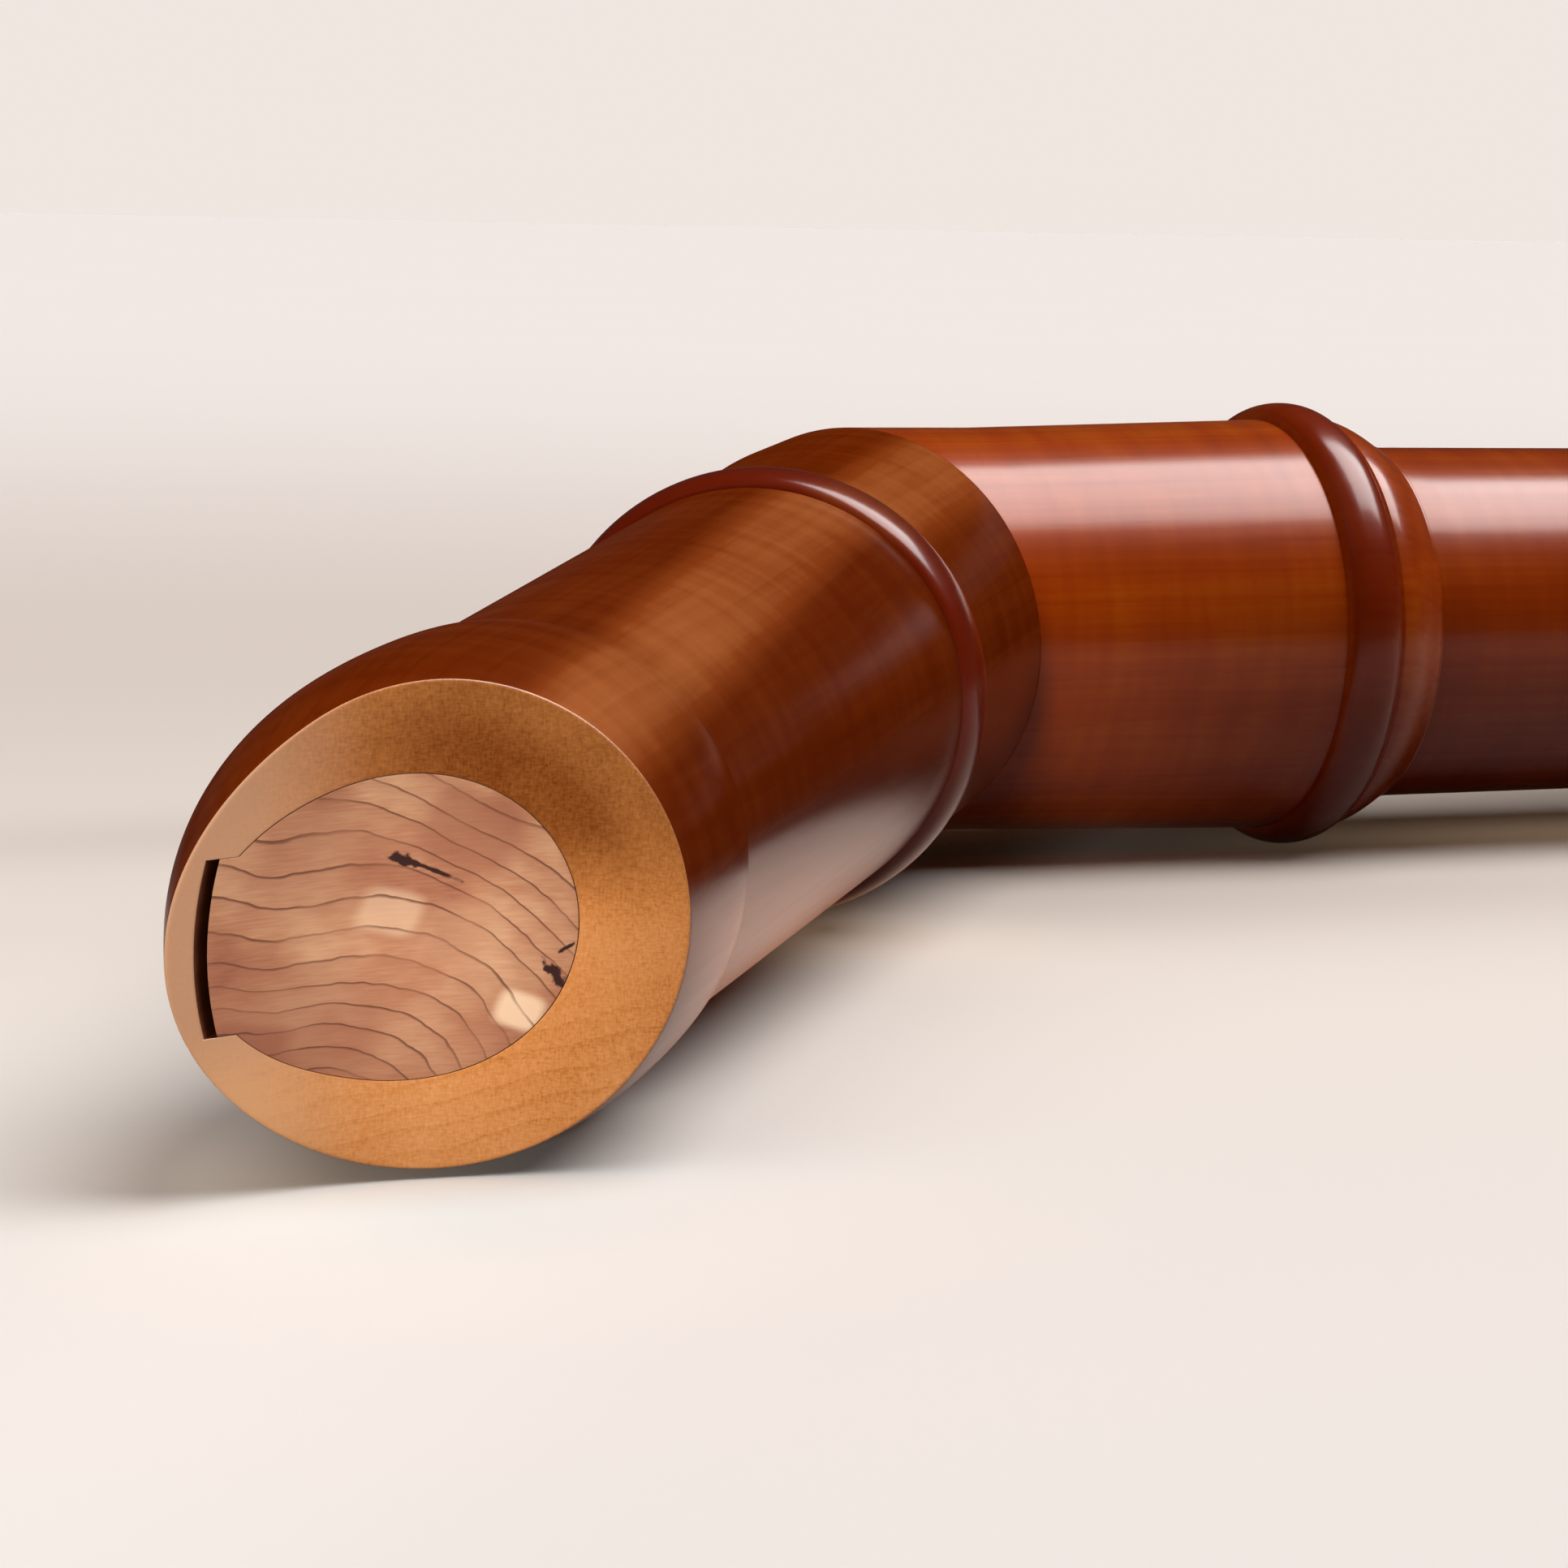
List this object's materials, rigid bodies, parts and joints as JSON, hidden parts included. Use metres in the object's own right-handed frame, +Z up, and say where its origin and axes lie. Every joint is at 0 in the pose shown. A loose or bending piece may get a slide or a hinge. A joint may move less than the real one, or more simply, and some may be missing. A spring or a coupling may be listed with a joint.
{
  "type": "bent-neck bass recorder",
  "caption": "Bent-neck bass recorder in turned, stained wood with a mitred knee, cedar block, finger holes, sprung brass keys, strap ring and jointed foot.",
  "frame": {"origin": "middle of the footprint, on the floor that the instrument lies on", "axes": "+X along the middle joint's bore from the knee to the foot, +Y to the side that the finger holes face, +Z up"},
  "size_m": [0.8516, 0.2292, 0.0655],
  "materials": {
    "pear_wood": "stained and polished to a warm satin gloss",
    "cedar": "bare, finely cut end grain",
    "cork": "waxed cork sheet",
    "pad_leather": "soft white leather",
    "steel": "blued to bright steel",
    "brass": "polished",
    "bone": "smooth ivory-coloured bush"
  },
  "bodies": {
    "middle": {"middle_joint": "pear_wood", "head_tenon_cork": "cork", "foot_tenon_cork": "cork", "thumb_bush": "bone", "strap_plate": "brass", "strap_plate_screw_1": "brass", "strap_plate_screw_2": "brass", "thumb_rest": "brass", "thumb_rest_screw_1": "brass", "thumb_rest_screw_2": "brass", "axle_hole_3": "steel", "axle_hole_6": "steel", "post_hole_3_1": "brass", "post_hole_3_2": "brass", "post_hole_6_1": "brass", "post_hole_6_2": "brass", "key_hole_3_spring": "steel", "key_hole_6_spring": "steel"},
    "head": {"head_joint": "pear_wood", "knee_upper": "pear_wood", "knee_lower": "pear_wood"},
    "block": {"block": "cedar"},
    "foot": {"foot_joint": "pear_wood", "axle_foot": "steel", "post_foot_1": "brass", "post_foot_2": "brass", "key_f_sharp_spring": "steel", "key_low_f_spring": "steel"},
    "strap_ring": {"strap_ring": "brass"},
    "key_hole_3": {"key_hole_3": "brass", "key_hole_3_pad": "pad_leather"},
    "key_hole_6": {"key_hole_6": "brass", "key_hole_6_pad": "pad_leather"},
    "key_f_sharp": {"key_f_sharp": "brass", "key_f_sharp_pad": "pad_leather"},
    "key_low_f": {"key_low_f": "brass", "key_low_f_pad": "pad_leather"}
  },
  "joints": [
    {"name": "head_slide", "type": "slide", "parent": "middle", "child": "head", "axis": [-1, 0, 0], "range_m": [0, 0.04]},
    {"name": "block_slide", "type": "slide", "parent": "head", "child": "block", "axis": [-0.5417, -0.8397, -0.0377], "range_m": [0, 0.07]},
    {"name": "foot_turn", "type": "hinge", "parent": "middle", "child": "foot", "pos_m": [0.20611, 0.0805, 0.03284], "axis": [1, 0, 0], "range_deg": [-30, 30]},
    {"name": "strap_ring_swing", "type": "hinge", "parent": "middle", "child": "strap_ring", "pos_m": [-0.06721, 0.04968, 0.03146], "axis": [-1, 0, 0], "range_deg": [-12, 180]},
    {"name": "key_hole_3_hinge", "type": "hinge", "parent": "middle", "child": "key_hole_3", "pos_m": [0.0178, 0.09333, 0.05982], "axis": [-1, 0, 0], "range_deg": [0, 6], "stiffness_Nm_per_rad": 0.1, "springref_deg": -6.88},
    {"name": "key_hole_6_hinge", "type": "hinge", "parent": "middle", "child": "key_hole_6", "pos_m": [0.1698, 0.0931, 0.05935], "axis": [-1, 0, 0], "range_deg": [0, 6], "stiffness_Nm_per_rad": 0.1, "springref_deg": -6.88},
    {"name": "key_f_sharp_hinge", "type": "hinge", "parent": "foot", "child": "key_f_sharp", "pos_m": [0.25611, 0.09355, 0.0603], "axis": [-1, 0, 0], "range_deg": [0, 6], "stiffness_Nm_per_rad": 0.1, "springref_deg": -6.88},
    {"name": "key_low_f_hinge", "type": "hinge", "parent": "foot", "child": "key_low_f", "pos_m": [0.32211, 0.09355, 0.0603], "axis": [-1, 0, 0], "range_deg": [0, 6], "stiffness_Nm_per_rad": 0.1, "springref_deg": -6.88}
  ]
}
